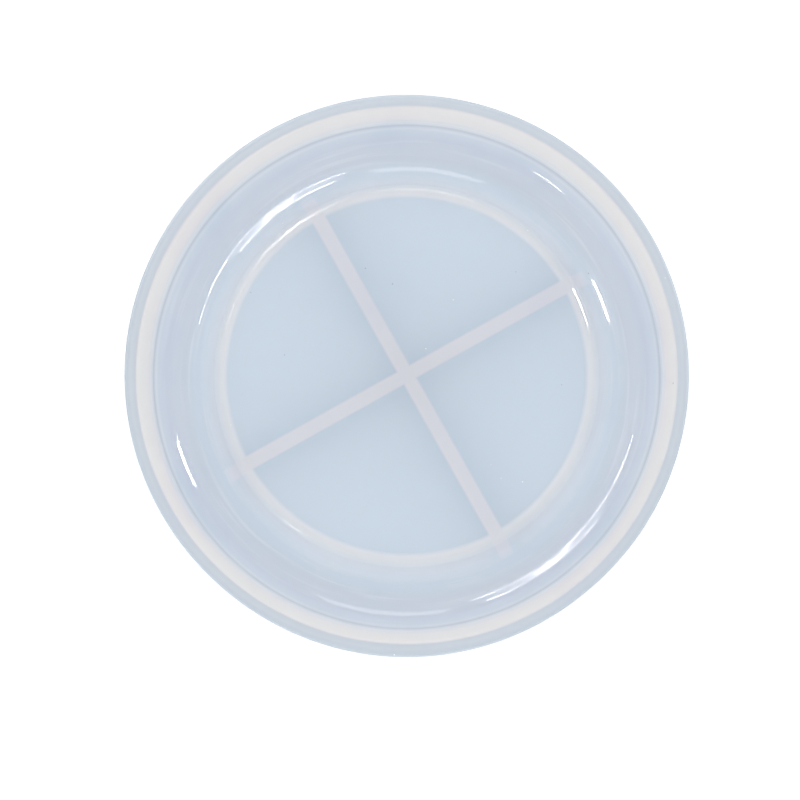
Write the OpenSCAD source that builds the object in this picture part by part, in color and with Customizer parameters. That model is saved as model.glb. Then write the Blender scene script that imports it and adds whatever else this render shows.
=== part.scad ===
// A round silicone mould for casting a shallow resin dish upside down.
// The middle casts the dish's floor, the ring-shaped channel casts its rounded lip,
// and the sloped band inside the rim casts the chamfer round the dish's base.
// The mould is one moulding. Its parts below are regions of it that meet face to face.
// Origin: centre of the underside. +Z is up, towards the open side that resin is poured into.

/* [Rim] */
// Diameter over the outer wall
rim_d = 83; // [80:0.5:110]
// Height from the underside to the top of the rim
mould_h = 8; // [6.6:0.1:14]
// Width of the flat top of the rim
rim_flat_w = 1.85; // [1:0.05:4]
// Width of the sloped band inside the rim, seen from above
bevel_w = 1.9; // [0.5:0.05:4]
// How far the outer wall leans in from the top of the rim to the underside
wall_draft = 0.2; // [0:0.05:1]

/* [Cavity] */
// Depth of resin over the centre plateau, which is also the height of the sloped band
bed_depth = 2; // [1.5:0.1:3]
// Width of the ring-shaped channel between the band and the plateau
channel_w = 9.6; // [8:0.1:12.5]
// Depth of the channel below the plateau
channel_depth = 3.8; // [2.5:0.1:4.6]

/* [Underside] */
// Thickness of the centre plateau
plateau_t = 1.6; // [1:0.1:2.5]
// How far the pocket's ceiling stops short of the plateau's edge
pocket_inset = 1.45; // [0.8:0.05:2.5]
// How far the pocket's mouth reaches past the plateau's edge
pocket_flare = 2.15; // [1:0.05:2.9]
// Width of each arm of the support cross
rib_w = 2.1; // [1:0.1:4]

/* [Edges] */
// Radius on the rim's outer edges
rim_round = 0.25; // [0.1:0.05:0.5]
// Radius on the plateau's edge
plateau_round = 1.4; // [0.1:0.05:1.6]

/* [Hidden] */
$fn = 180;
rim_r = rim_d / 2;
base_r = rim_r - wall_draft;
band_outer_r = rim_r - rim_flat_w;
band_inner_r = band_outer_r - bevel_w;
plateau_r = band_inner_r - channel_w;
plateau_z = mould_h - bed_depth;
plateau_under_z = plateau_z - plateau_t;
pocket_top_r = plateau_r - pocket_inset;
pocket_mouth_r = plateau_r + pocket_flare;
// The channel's section is an arc through the plateau's edge, its own lowest point and the band
channel_arc_r = (pow(channel_w / 2, 2) + pow(channel_depth, 2)) / (2 * channel_depth);
channel_arc_end = 2 * atan(channel_depth / (channel_w / 2));
channel_mid_r = plateau_r + channel_w / 2;
channel_arc_z = plateau_z - channel_depth + channel_arc_r;
// The plateau's rounding is limited by its wall: a strip of flat top stays between it and the pocket
edge_land = 0.1;
edge_room = channel_w / 2 + pocket_inset - edge_land;
edge_round = min(plateau_round, (pow(edge_room, 2) / channel_depth + channel_depth) / 2 - channel_arc_r);
// The plateau's rounded edge is an arc that touches the flat top and the channel's arc
edge_arc_z = plateau_z - edge_round;
edge_arc_tilt = acos((channel_arc_z - edge_arc_z) / (channel_arc_r + edge_round));
edge_arc_r = channel_mid_r - (channel_arc_r + edge_round) * sin(edge_arc_tilt);
// Steps along each arc of the section
channel_steps = 12;
round_steps = 5;
// How far the cross is made past the pocket before it is cut to it
past = 1;
silicone = [0.80, 0.86, 0.90];
milky_silicone = [0.92, 0.90, 0.91];

// Points on an arc round [r, z], from one angle to another, with 0 pointing outwards and 90 up
function arc(r, z, size, from, to, steps) = [
    for (i = [0 : steps])
        let (a = from + (to - from) * i / steps)
            [r + size * cos(a), z + size * sin(a)]
];

// A solid of revolution from the points of its section, each [radius, height]
module ring(section) {
    rotate_extrude()
        polygon(section);
}

// The outer wall, its flat top and the sloped band inside it
module rim_wall() {
    base_round = arc(base_r - rim_round, rim_round, rim_round, -90, 0, round_steps);
    top_round = arc(rim_r - rim_round, mould_h - rim_round, rim_round, 0, 90, round_steps);
    inside = [[band_outer_r, mould_h], [band_inner_r, plateau_z], [band_inner_r, 0]];
    color(silicone)
        ring(concat(base_round, top_round, inside));
}

// The half of the channel next to the rim, from its lowest line up to the band
module channel_outer_side() {
    slope = arc(channel_mid_r, channel_arc_z, channel_arc_r, -90, -90 + channel_arc_end, channel_steps);
    color(silicone)
        ring(concat(slope, [[band_inner_r, 0], [channel_mid_r, 0]]));
}

// The half of the channel next to the plateau, with the plateau's rounded edge above the pocket's wall
module channel_inner_side() {
    slope = arc(channel_mid_r, channel_arc_z, channel_arc_r, -90, -90 - edge_arc_tilt, channel_steps);
    edge = arc(edge_arc_r, edge_arc_z, edge_round, 90 - edge_arc_tilt, 90, round_steps);
    inside = [[pocket_top_r, plateau_z], [pocket_top_r, plateau_under_z]];
    underside = [[pocket_mouth_r, 0], [channel_mid_r, 0]];
    color(silicone)
        ring(concat(slope, edge, inside, underside));
}

// The flat disc in the middle, level with the channel's upper edges
module centre_plateau() {
    color(silicone)
        translate([0, 0, plateau_under_z])
            cylinder(r = pocket_top_r, h = plateau_t);
}

// Two crossing ribs that fill the pocket's height and end on its sloping wall
module support_cross() {
    pocket = [[0, 0], [pocket_mouth_r, 0], [pocket_top_r, plateau_under_z], [0, plateau_under_z]];
    color(milky_silicone)
        intersection() {
            ring(pocket);
            union() {
                cross_arm();
                rotate([0, 0, 90])
                    cross_arm();
            }
        }
}

// One rib right across the pocket, a little too long and too tall
module cross_arm() {
    length = 2 * (pocket_mouth_r + past);
    translate([-length / 2, -rib_w / 2, -past])
        cube([length, rib_w, plateau_under_z + 2 * past]);
}

rim_wall();
channel_outer_side();
channel_inner_side();
centre_plateau();
support_cross();
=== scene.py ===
import math

import bmesh
import bpy
import numpy as np
from mathutils import Matrix, Vector


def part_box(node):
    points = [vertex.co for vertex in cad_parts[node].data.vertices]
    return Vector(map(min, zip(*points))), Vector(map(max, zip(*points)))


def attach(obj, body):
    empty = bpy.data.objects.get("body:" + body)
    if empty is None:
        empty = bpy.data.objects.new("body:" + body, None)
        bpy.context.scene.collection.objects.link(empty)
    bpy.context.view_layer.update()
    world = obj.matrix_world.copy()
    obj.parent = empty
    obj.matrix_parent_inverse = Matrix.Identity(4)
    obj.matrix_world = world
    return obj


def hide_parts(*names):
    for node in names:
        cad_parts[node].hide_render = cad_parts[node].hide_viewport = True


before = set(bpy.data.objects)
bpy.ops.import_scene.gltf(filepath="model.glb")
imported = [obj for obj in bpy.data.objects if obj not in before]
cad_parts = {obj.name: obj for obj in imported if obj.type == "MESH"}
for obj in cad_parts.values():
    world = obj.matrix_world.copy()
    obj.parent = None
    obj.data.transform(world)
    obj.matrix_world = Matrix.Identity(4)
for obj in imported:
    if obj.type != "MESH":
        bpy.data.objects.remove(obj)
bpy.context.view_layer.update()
mm = 0.001
print("frame loaded:", ", ".join(sorted(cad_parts)))

# Radii and heights that the CAD regions carry, in mm
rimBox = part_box("rim_wall")
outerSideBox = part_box("channel_outer_side")
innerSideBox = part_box("channel_inner_side")
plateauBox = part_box("centre_plateau")
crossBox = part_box("support_cross")
rimRadius = rimBox[1].x / mm
rimTop = rimBox[1].z / mm
bandInner = outerSideBox[1].x / mm
channelMiddle = innerSideBox[1].x / mm
plateauTop = plateauBox[1].z / mm
ceiling = plateauBox[0].z / mm
ceilingRadius = plateauBox[1].x / mm
mouthRadius = crossBox[1].x / mm

# The moulding's other sizes, in mm
mouldSizes = dict(
    rimFlat=1.85,           # width of the flat rim
    draft=0.2,              # lean of the outer wall
    rimRound=0.25,          # rounding of the rim's outer edges
    ledge=0.2,              # from the channel's arc out to the sloped band's foot
    wallTilt=60.0,          # slope where the channel's arc stops and goes on straight, in degrees
    channelDepth=3.8,       # below the plateau
    plateauRound=1.4,       # rounding of the plateau's edge
    softening=0.17,         # spread of the averaging that takes the sharpness off every edge
    ribWidth=2.1,
    ribRound=0.3,           # rounding along the ribs' lower edges and the pocket's mouth
    ribFillet=0.55,         # fillet where ribs and wall meet the pocket's ceiling
    ribCorner=0.9,          # corner radius of each quarter pocket
    footStart=2.5,          # from the pocket's mouth to where the lathe-turned skin starts
    pocketMargin=0.06,      # from a rounding of the pocket to the next row on the flat
    ceilingRings=(0.8, 0.55, 0.3, 0.12),    # rows on the pocket's ceiling, as shares of its outline
    shrinkWave=0.02,        # unevenness of the outer radius
    shrinkFade=6.0,         # grows to its full amount over this much radius
    sinkWave=0.025,         # unevenness of the rim's and plateau's height
    sinkStart=5.0,          # height where it starts
    sinkFade=1.5,           # grows to its full amount over this much height
    weld=0.002,             # points closer than this are merged
    steps=360,              # round the mould
    ringPoints=190,         # along the section
)
bandOuter = rimRadius - mouldSizes["rimFlat"]
footRadius = mouthRadius + mouldSizes["footStart"]


# Points on an arc: its centre plus its size times the cosine and sine of an angle in degrees
def arcPoints(r, z, size, start, end, count):
    angle = np.radians(np.linspace(start, end, count))
    return np.stack([r + size * np.cos(angle), z + size * np.sin(angle)], 1)


# Rounds a line and thins it out. It is cut into equal short steps, and each point is averaged with
# its neighbours under a bell curve. Points are then kept where a running sum of length and turning
# grows by equal amounts, so that bends get many and flats get few.
def softenProfile(points, spread, wanted):
    step = spread / 4
    reach = 16                        # steps under the bell curve on each side
    window = 25                       # steps that share out a turn
    lengthPerPoint = 1.6
    turnPerPoint = math.radians(5)
    length = np.concatenate([[0], np.cumsum(np.hypot(*np.diff(points, axis=0).T))])
    even = np.linspace(0, length[-1], int(length[-1] / step))
    line = np.stack([np.interp(even, length, points[:, k]) for k in (0, 1)], 1)
    bell = np.exp(-0.5 * (np.arange(-reach, reach + 1) * step / spread) ** 2)
    bell /= bell.sum()
    first = 2 * line[0] - line[reach:0:-1]
    last = 2 * line[-1] - line[-2:-reach - 2:-1]
    padded = np.concatenate([first, line, last])
    soft = np.stack([np.convolve(padded[:, k], bell, "valid") for k in (0, 1)], 1)
    soft[0], soft[-1] = line[0], line[-1]
    move = np.diff(soft, axis=0)
    heading = np.unwrap(np.arctan2(move[:, 1], move[:, 0]))
    turn = np.abs(np.diff(heading, prepend=heading[0]))
    turnShare = np.convolve(turn, np.ones(window) / window, "same")
    growth = np.hypot(*move.T) / lengthPerPoint + turnShare / turnPerPoint
    cost = np.concatenate([[0], np.cumsum(growth)])
    keep = np.interp(np.linspace(0, cost[-1], wanted), cost, np.arange(len(soft)))
    return np.stack([np.interp(keep, np.arange(len(soft)), soft[:, k]) for k in (0, 1)], 1)


# The section from the flat underside, out round the rim, down the band and over the channel to the
# axis. The channel is an arc through its lowest line and both its edges. It goes on straight to the
# band's foot from where it reaches the wall's tilt, and the plateau's rounded edge is an arc that
# touches it.
def mouldSection(s):
    baseRadius = rimRadius - s["draft"]
    half = bandInner - channelMiddle
    arcSize = (half ** 2 + s["channelDepth"] ** 2) / (2 * s["channelDepth"])
    arcHeight = plateauTop - s["channelDepth"] + arcSize
    endAngle = min(s["wallTilt"], 2 * math.degrees(math.atan(s["channelDepth"] / half)))
    edgeHeight = plateauTop - s["plateauRound"]
    tilt = math.degrees(math.acos((arcHeight - edgeHeight) / (arcSize + s["plateauRound"])))
    edgeRadius = channelMiddle - (arcSize + s["plateauRound"]) * math.sin(math.radians(tilt))
    rounding = s["rimRound"]
    parts = [
        [[footRadius, 0]],
        arcPoints(baseRadius - rounding, rounding, rounding, -90, 0, 9),
        arcPoints(rimRadius - rounding, rimTop - rounding, rounding, 0, 90, 9),
        [[bandOuter, rimTop], [bandInner + s["ledge"], plateauTop]],
        arcPoints(channelMiddle, arcHeight, arcSize, -90 + endAngle, -90 - tilt, 90),
        arcPoints(edgeRadius, edgeHeight, s["plateauRound"], 90 - tilt, 90, 9),
        [[0, plateauTop]],
    ]
    return np.concatenate([np.array(p, float) for p in parts])


# One quarter pocket's outline seen from below: along one rib, round the wall and back along the
# other rib
def quarterLoop(inset, arcRadius, s):
    side = s["ribWidth"] / 2 + inset
    outer = arcRadius - inset
    corner = max(s["ribCorner"] - inset, 0.05)
    hub = side + corner
    centreX = math.sqrt((outer - corner) ** 2 - hub ** 2)
    endAngle = math.degrees(math.atan2(hub, centreX))
    inner = arcPoints(hub, hub, corner, 225, 270, 5)
    straight = np.stack([np.linspace(hub, centreX, 33), np.full(33, side)], 1)[1:]
    bend = arcPoints(centreX, hub, corner, -90, endAngle, 9)[1:]
    half = arcPoints(0, 0, outer, endAngle, 45, 42)[1:]
    firstHalf = np.concatenate([inner, straight, bend, half])
    return np.concatenate([firstHalf, firstHalf[-2::-1, ::-1]])


# Where the quarter's flat underside ends: along one rib's middle line, round the foot and back
def quarterOutline():
    line = np.stack([footRadius * np.linspace(0, 1, 41) ** 0.9, np.zeros(41)], 1)
    half = arcPoints(0, 0, footRadius, 0, 45, 46)[1:]
    firstHalf = np.concatenate([line, half])
    return np.concatenate([firstHalf, firstHalf[-2::-1, ::-1]])


# Rows from the flat underside up the pocket's wall and on to its ceiling, as pairs of inset and height
def pocketLevels(s):
    r = s["ribRound"]
    f = s["ribFillet"]
    margin = s["pocketMargin"]
    down = np.radians(np.linspace(0, 90, 8))
    mouth = np.stack([-r * (1 - np.sin(down)), r * (1 - np.cos(down))], 1)
    wall = np.stack([np.zeros(6), np.linspace(r, ceiling - f, 8)[1:-1]], 1)
    up = np.radians(np.linspace(0, 90, 9))
    fillet = np.stack([f * (1 - np.cos(up)), ceiling - f + f * np.sin(up)], 1)
    return np.concatenate([[[-r - margin, 0]], mouth, wall, fillet, [[f + margin, ceiling]]])


# Quads between neighbouring rows of a grid whose last column joins its first
def gridFaces(rows, columns, start):
    i, j = np.meshgrid(np.arange(rows - 1), np.arange(columns), indexing="ij")
    k = (j + 1) % columns
    near = i * columns
    far = near + columns
    quads = np.stack([near + j, far + j, far + k, near + k], -1)
    return (quads.reshape(-1, 4) + start).tolist()


# Triangles from a grid's last row to one point in its middle
def capFaces(rows, columns, start):
    last = start + (rows - 1) * columns + np.arange(columns)
    middle = np.full(columns, start + rows * columns)
    return np.stack([last, middle, np.roll(last, -1)], 1).tolist()


# Slow unevenness of a soft moulding, from 0 to 1: a few waves round it, mixed by the second value
def waver(angle, mix):
    slow = np.sin(2 * angle + 0.7)
    middling = 0.6 * np.sin(5 * angle + 2.1 + mix / 3)
    quick = 0.4 * np.sin(9 * angle + 4.0)
    return 0.5 + (slow + middling + quick) / 4


# The whole moulding as one closed skin: the section turned round the axis, and four quarter pockets
# below
def buildMould(s):
    section = softenProfile(mouldSection(s), s["softening"], s["ringPoints"])
    angle = np.linspace(0, 2 * math.pi, s["steps"], endpoint=False)[None, :]
    radius = section[:-1, :1]
    height = section[:-1, 1:]
    pullShare = np.clip((radius - footRadius) / s["shrinkFade"], 0, 1)
    sinkShare = np.clip((height - s["sinkStart"]) / s["sinkFade"], 0, 1)
    uneven = radius - s["shrinkWave"] * waver(angle, height) * pullShare
    level = height - s["sinkWave"] * waver(angle + 1, radius) * sinkShare
    lathe = np.stack([uneven * np.cos(angle), uneven * np.sin(angle), level], -1)
    rows, columns = lathe.shape[:2]
    points = [lathe.reshape(-1, 3), np.array([[0, 0, lathe[-1, :, 2].mean()]])]
    faces = gridFaces(rows, columns, 0) + capFaces(rows, columns, 0)
    start = rows * columns + 1

    slope = (mouthRadius - ceilingRadius) / ceiling
    loops = [np.column_stack([quarterOutline(), np.zeros(len(quarterOutline()))])]
    for inset, up in pocketLevels(s):
        flat = quarterLoop(inset, mouthRadius - slope * up, s)
        loops.append(np.column_stack([flat, np.full(len(flat), up)]))
    middle = loops[-1].mean(0)
    loops += [middle + (loops[-1] - middle) * share for share in s["ceilingRings"]]
    quarter = np.stack(loops)
    rows, columns = quarter.shape[:2]
    for turn in range(4):
        spin = np.array(Matrix.Rotation(math.radians(90 * turn), 3, "Z"))
        points += [quarter.reshape(-1, 3) @ spin.T, (middle @ spin.T)[None, :]]
        faces += gridFaces(rows, columns, start) + capFaces(rows, columns, start)
        start += rows * columns + 1

    mesh = bpy.data.meshes.new("siliconeMould")
    mesh.from_pydata((np.concatenate(points) * mm).tolist(), [], faces)
    skin = bmesh.new()
    skin.from_mesh(mesh)
    bmesh.ops.remove_doubles(skin, verts=skin.verts, dist=s["weld"] * mm)
    bmesh.ops.recalc_face_normals(skin, faces=skin.faces)
    openEdges = sum(1 for e in skin.edges if not e.is_manifold)
    triangles = sum(len(f.verts) - 2 for f in skin.faces)
    skin.to_mesh(mesh)
    skin.free()
    mesh.polygons.foreach_set("use_smooth", np.ones(len(mesh.polygons), bool))
    mould = bpy.data.objects.new("siliconeMould", mesh)
    bpy.context.scene.collection.objects.link(mould)
    print("mould skin:", triangles, "triangles,", openEdges, "open edges")
    return mould


# A node's output that can be used in sums
class Value:
    def __init__(self, tree, socket):
        self.tree = tree
        self.socket = socket

    def maths(self, operation, *others, flip=False):
        inputs = [self, *others]
        if flip:
            inputs.reverse()
        return self.tree.add("ShaderNodeMath", dict(operation=operation), inputs)

    def __add__(self, other):
        return self.maths("ADD", other)

    def __radd__(self, other):
        return self.maths("ADD", other)

    def __sub__(self, other):
        return self.maths("SUBTRACT", other)

    def __rsub__(self, other):
        return self.maths("SUBTRACT", other, flip=True)

    def __mul__(self, other):
        return self.maths("MULTIPLY", other)

    def __rmul__(self, other):
        return self.maths("MULTIPLY", other)

    def __truediv__(self, other):
        return self.maths("DIVIDE", other)

    def __abs__(self):
        return self.maths("ABSOLUTE")

    def larger(self, other):
        return self.maths("MAXIMUM", other)


# A material's nodes, with one method that adds any of them
class Tree:
    def __init__(self, name):
        self.material = bpy.data.materials.new(name)
        self.material.use_nodes = True
        self.nodes = self.material.node_tree.nodes
        self.links = self.material.node_tree.links
        self.nodes.clear()

    def add(self, kind, settings=None, inputs=(), output=0):
        node = self.nodes.new(kind)
        for name, value in (settings or {}).items():
            if name == "stops":
                self.setStops(node.color_ramp, value)
            else:
                setattr(node, name, value)
        pairs = inputs.items() if isinstance(inputs, dict) else enumerate(inputs)
        for key, value in pairs:
            if isinstance(value, Value):
                self.links.new(value.socket, node.inputs[key])
            else:
                node.inputs[key].default_value = value
        return Value(self, node.outputs[output]) if node.outputs else None

    # Fills a colour ramp from pairs of place and colour
    def setStops(self, ramp, stops):
        for place, _ in stops[2:]:
            ramp.elements.new(place)
        for element, (place, colour) in zip(ramp.elements, stops):
            element.position = place
            element.color = colour

    # The first colour where share is 0, the second where it is 1
    def blend(self, share, first, second):
        return self.add("ShaderNodeMix", dict(data_type="RGBA"), {0: share, 6: first, 7: second}, 2)

    # 0 below low, 1 above high and a smooth step between
    def ease(self, value, low, high):
        return self.add("ShaderNodeMapRange", dict(interpolation_type="SMOOTHSTEP"),
                        {"Value": value, "From Min": low, "From Max": high})

    # 1 within halfWidth of middle, fading to 0 over softness
    def stripe(self, value, middle, halfWidth, softness):
        return 1 - self.ease(abs(value - middle), halfWidth - softness / 2, halfWidth + softness / 2)


# A display colour in 0 to 255 as linear light
def tone(red, green, blue):
    shares = [c / 255 for c in (red, green, blue)]
    return tuple(c / 12.92 if c < 0.0405 else ((c + 0.055) / 1.055) ** 2.4 for c in shares) + (1,)


siliconeLook = dict(
    # Tones outwards from the axis: a thin milky sheet is bluish and thick silicone is paler. The tones
    # also hold painted light and shade, named where they are set.
    plateau=tone(201, 215, 232),
    edge=tone(233, 238, 251),        # over the corner of the pocket below
    # Painted light: a glow fading outwards from the pocket's corner, lifting the slope past the
    # plateau's edge
    edgeFadePaintedLight=tone(223, 231, 246),
    edgeEndPaintedLight=tone(217, 228, 243),
    channelInner=tone(209, 220, 233),
    channelMiddle=tone(204, 211, 221),
    channelOuter=tone(213, 219, 230),
    # Painted light: the steep top of the channel's outer wall is lightened to cancel its shade
    channelWallPaintedLight=tone(222, 229, 239),
    channelLipPaintedLight=tone(243, 246, 252),
    # The band's pale foot, also lightened with painted light against the wall's shade
    bandFoot=tone(235, 239, 246),
    bandMiddle=tone(251, 245, 248),
    bandTop=tone(255, 247, 246),     # the band's warm streak
    rim=tone(200, 208, 219),
    # Painted shade: the rim's outer edge is darkened to dim its lit rounding
    rimEdgePaintedShade=tone(183, 195, 209),
    rib=tone(233, 233, 244),
    bubble=tone(250, 252, 255),
    dust=tone(150, 165, 180),
    streak=tone(226, 231, 242),      # flow marks round the channel
    shade=tone(194, 207, 224),       # cloudy patches
    armBlur=0.5,                     # softness of the ribs that show through
    armDimming=0.3,                  # how much fainter they are past the pocket's ceiling
    streakShare=0.5,
    cloudShare=0.2,
    cloudScale=70.0,
    speckScale=420.0,
    bubbleFrom=0.80,                 # cells with a higher draw hold a bubble
    dustBelow=0.10,                  # cells with a lower draw hold a speck
    dustShare=0.7,
    grainScale=900.0,
    dimpleScale=1300.0,
    dimpleHeight=0.02,
    lineHeight=0.12,                 # fine lines round the channel
    bumpStrength=0.1,
    bumpDistance=0.0002,             # in metres
    roughness=0.03,
    roughGrain=0.01,
    rimRoughness=0.55,               # the rim and the band are duller
    refraction=1.41,
    specularLevel=1.0,
    subsurface=1.0,
    scatter=0.008,
)


def siliconeMaterial(look, s):
    t = Tree("milkySilicone")
    place = t.add("ShaderNodeTexCoord", output=3)
    apart = t.add("ShaderNodeSeparateXYZ", inputs=[place]).socket.node
    x, y, z = (Value(t, apart.outputs[k]) / mm for k in range(3))
    radius = (x * x + y * y).maths("SQRT")
    stops = [
        (0, "plateau"),
        (ceilingRadius - 0.4, "plateau"),
        (ceilingRadius + 0.12, "edge"),
        (ceilingRadius + 0.5, "edge"),
        # Painted light on the slope past the plateau's edge
        (ceilingRadius + 1.5, "edgeFadePaintedLight"),
        (ceilingRadius + 2.9, "edgeEndPaintedLight"),
        (mouthRadius + 0.4, "channelInner"),
        (channelMiddle, "channelMiddle"),
        (bandInner - 2.2, "channelOuter"),
        # Painted light over the channel's steep outer wall and the band's foot
        (bandInner - 1.0, "channelWallPaintedLight"),
        (bandInner - 0.5, "channelLipPaintedLight"),
        (bandInner - 0.28, "channelLipPaintedLight"),
        (bandInner + 0.05, "bandFoot"),
        (bandInner + 0.45, "bandMiddle"),
        (bandInner + 1.1, "bandTop"),
        (bandOuter - 0.15, "bandTop"),
        (bandOuter + 0.25, "rim"),
        (rimRadius - 0.9, "rim"),
        # Painted shade on the rim's outer edge
        (rimRadius - 0.3, "rimEdgePaintedShade"),
    ]
    ramp = [(r / rimRadius, look[name]) for r, name in stops]
    colour = t.add("ShaderNodeValToRGB", dict(stops=ramp), [radius / rimRadius])

    # The band shows on the top side only
    above = t.ease(z, plateauTop - 1.2, plateauTop - 0.6)
    outside = t.ease(radius, bandInner - 0.9, bandInner - 0.2)
    colour = t.blend(outside * (1 - above), colour, look["rim"])

    # The ribs below show through and fade out past the plateau's edge
    ribHalf = s["ribWidth"] / 2
    blur = look["armBlur"]
    arms = t.stripe(x, 0, ribHalf, blur).larger(t.stripe(y, 0, ribHalf, blur))
    reach = 1 - t.ease(radius, mouthRadius - 1.0, mouthRadius + 0.6)
    dim = 1 - look["armDimming"] * t.ease(radius, ceilingRadius + 0.2, ceilingRadius + 1.0)
    colour = t.blend(arms * reach * dim, colour, look["rib"])

    # Flow marks that run round the channel: noise in radius and direction
    around = t.add("ShaderNodeCombineXYZ", inputs=[radius * 1.6, x / radius * 2.2, y / radius * 2.2])
    marks = t.add("ShaderNodeTexNoise", inputs={"Vector": around, "Scale": 1.0, "Detail": 3.0})
    beforeBand = 1 - t.ease(radius, bandInner - 1, bandInner)
    inChannel = t.ease(radius, ceilingRadius + 1, ceilingRadius + 3) * beforeBand
    colour = t.blend(t.ease(marks, 0.5, 0.8) * inChannel * look["streakShare"], colour, look["streak"])
    cloudInputs = {"Vector": place, "Scale": look["cloudScale"], "Detail": 3.0}
    cloud = t.add("ShaderNodeTexNoise", inputs=cloudInputs)
    colour = t.blend(t.ease(cloud, 0.45, 0.75) * look["cloudShare"], colour, look["shade"])

    # A few tiny air bubbles and dust specks, each in its own cell
    cells = t.add("ShaderNodeTexVoronoi", inputs={"Vector": place, "Scale": look["speckScale"]})
    pick = t.add("ShaderNodeSeparateColor", inputs=[Value(t, cells.socket.node.outputs["Color"])])
    dot = 1 - t.ease(cells, 0.03, 0.06)
    bubbles = t.ease(pick, look["bubbleFrom"], look["bubbleFrom"] + 0.01)
    specks = 1 - t.ease(pick, look["dustBelow"], look["dustBelow"] + 0.01)
    colour = t.blend(dot * bubbles, colour, look["bubble"])
    colour = t.blend(dot * specks * look["dustShare"], colour, look["dust"])

    grainInputs = {"Vector": place, "Scale": look["grainScale"], "Detail": 2.0}
    grain = t.add("ShaderNodeTexNoise", inputs=grainInputs)
    dimpleInputs = {"Vector": place, "Scale": look["dimpleScale"], "Detail": 1.0}
    dimples = t.add("ShaderNodeTexNoise", inputs=dimpleInputs)
    fine = t.add("ShaderNodeCombineXYZ", inputs=[radius * 2.5, x / radius * 3, y / radius * 3])
    lines = t.add("ShaderNodeTexNoise", inputs={"Vector": fine, "Scale": 1.0, "Detail": 2.0})
    uneven = look["dimpleHeight"] * dimples + look["lineHeight"] * lines * inChannel
    bump = t.add("ShaderNodeBump", inputs={
        "Strength": look["bumpStrength"],
        "Distance": look["bumpDistance"],
        "Height": uneven,
    })
    extraRoughness = look["rimRoughness"] - look["roughness"]
    dull = t.ease(radius, bandInner - 0.3, bandInner + 0.2) * extraRoughness
    shader = t.add("ShaderNodeBsdfPrincipled", inputs={
        "Base Color": colour,
        "Roughness": look["roughness"] + look["roughGrain"] * grain + dull,
        "IOR": look["refraction"],
        "Specular IOR Level": look["specularLevel"],
        "Subsurface Weight": look["subsurface"],
        "Subsurface Radius": (1.0, 1.0, 1.0),
        "Subsurface Scale": look["scatter"],
        "Normal": bump,
    })
    t.add("ShaderNodeOutputMaterial", inputs={"Surface": shader})
    return t.material


mould = buildMould(mouldSizes)
mould.data.materials.append(siliconeMaterial(siliconeLook, mouldSizes))
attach(mould, "root")
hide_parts("rim_wall", "channel_outer_side", "channel_inner_side", "centre_plateau",
            "support_cross")
print("mould made and dressed")

studio = dict(
    floorSize=6.0,
    floorTone=(0.86, 0.86, 0.86, 1),
    floorGlow=0.45,                  # a lit table, so that the object's shadow stays faint
    sky=(0.99, 0.995, 1.0, 1),
    skyStrength=0.46,
)


# A wide flat floor under the object, lit a little from below
def buildFloor(s):
    half = s["floorSize"] / 2
    mesh = bpy.data.meshes.new("paleFloor")
    corners = [(-half, -half, 0), (half, -half, 0), (half, half, 0), (-half, half, 0)]
    mesh.from_pydata(corners, [], [(0, 1, 2, 3)])
    floor = bpy.data.objects.new("paleFloor", mesh)
    bpy.context.scene.collection.objects.link(floor)
    t = Tree("paleFloor")
    shader = t.add("ShaderNodeBsdfPrincipled", inputs={
        "Base Color": s["floorTone"],
        "Roughness": 0.9,
        "Specular IOR Level": 0.1,
        "Emission Color": (1, 1, 1, 1),
        "Emission Strength": s["floorGlow"],
    })
    t.add("ShaderNodeOutputMaterial", inputs={"Surface": shader})
    mesh.materials.append(t.material)


def buildSky(s):
    world = bpy.data.worlds.new("studio")
    bpy.context.scene.world = world
    world.use_nodes = True
    background = world.node_tree.nodes["Background"]
    background.inputs["Color"].default_value = s["sky"]
    background.inputs["Strength"].default_value = s["skyStrength"]


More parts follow.
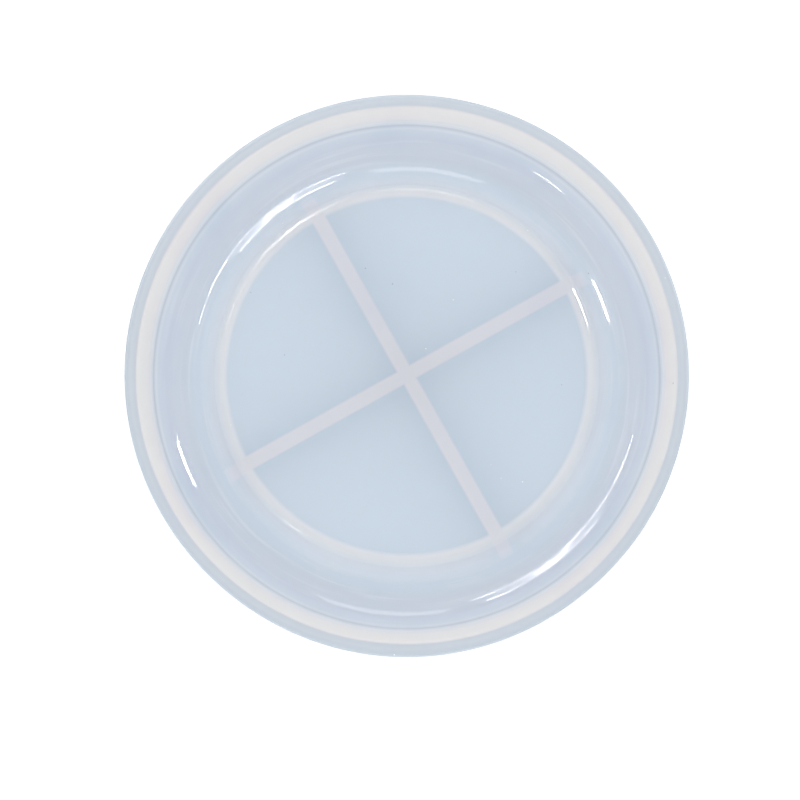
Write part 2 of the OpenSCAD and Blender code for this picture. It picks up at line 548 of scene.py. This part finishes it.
viewTurn = -29.3        # the camera's azimuth, in degrees
target = Vector((0, 0, rimTop * mm))
lamps = [
    # name, kind, direction in the camera's picture, height, distance, width, depth, radiance
    ("mainFill", "fill", 124, 52, 0.75, 0.60, 0.60, 0.95),
    ("mainSoftbox", "shine", 124, 46, 0.75, 0.30, 0.24, 1.0),
    ("mainUpperTube", "shine", 129, 58, 0.75, 0.38, 0.016, 34.0),
    ("mainLowerTube", "shine", 122, 37, 0.75, 0.32, 0.020, 34.0),
    ("mainMiddleTube", "shine", 122, 47, 0.75, 0.08, 0.12, 12.0),
    ("topPanel", "shine", 85, 38, 0.80, 0.30, 0.22, 1.8),
    ("sidePanel", "shine", 29, 38.5, 0.80, 0.12, 0.11, 55.0),
    ("lowWindow", "shine", 230, 22, 0.80, 0.12, 0.08, 10.0),
    ("frontFill", "fill", 245, 42, 0.75, 0.70, 0.50, 0.95),
    ("rightFill", "fill", 315, 42, 0.75, 0.60, 0.40, 0.8),
    ("backFill", "fill", 45, 42, 0.75, 0.50, 0.40, 0.9),
]


# An area lamp that faces the mould. Its energy is the radiance that its face shows times pi times its
# width and depth. A fill lights the mould but leaves no highlight, and a shine leaves only a highlight.
def addLamp(name, kind, around, height, distance, width, depth, radiance):
    turn, rise = math.radians(around + viewTurn), math.radians(height)
    away = Vector((math.cos(turn) * math.cos(rise), math.sin(turn) * math.cos(rise), math.sin(rise)))
    light = bpy.data.lights.new(name, "AREA")
    light.shape = "ELLIPSE" if name == "mainSoftbox" else "RECTANGLE"
    light.size = width
    light.size_y = depth
    light.energy = radiance * math.pi * width * depth
    lamp = bpy.data.objects.new(name, light)
    lamp.location = target + distance * away
    lamp.rotation_euler = away.to_track_quat("Z", "Y").to_euler()
    lamp.visible_diffuse = kind == "fill"
    lamp.visible_glossy = kind == "shine"
    bpy.context.scene.collection.objects.link(lamp)


# The aim point lies beside the rim's centre, in mm to the right of it and up in the camera's picture
shot = dict(elevation=84.0, distance=0.75, spanAcross=117.5, aimRight=-0.987, aimUp=-3.90, sensor=36)


def buildCamera(s):
    turn, rise = math.radians(viewTurn), math.radians(s["elevation"])
    away = Vector((math.sin(turn) * math.cos(rise), -math.cos(turn) * math.cos(rise), math.sin(rise)))
    right = Vector((math.cos(turn), math.sin(turn), 0))
    upward = away.cross(right)
    aim = target + (s["aimRight"] * right + s["aimUp"] * upward) * mm
    data = bpy.data.cameras.new("camera")
    data.sensor_width = s["sensor"]
    data.lens = s["sensor"] * s["distance"] / (s["spanAcross"] * mm)
    data.clip_start = 0.01
    data.clip_end = 20
    camera = bpy.data.objects.new("camera", data)
    camera.location = aim + away * s["distance"]
    camera.rotation_euler = Matrix((right, upward, away)).transposed().to_euler()
    bpy.context.scene.collection.objects.link(camera)
    bpy.context.scene.camera = camera


buildFloor(studio)
buildSky(studio)
for lamp in lamps:
    addLamp(*lamp)
buildCamera(shot)
bpy.context.scene.view_settings.view_transform = "Standard"
print("floor, lights and camera placed")
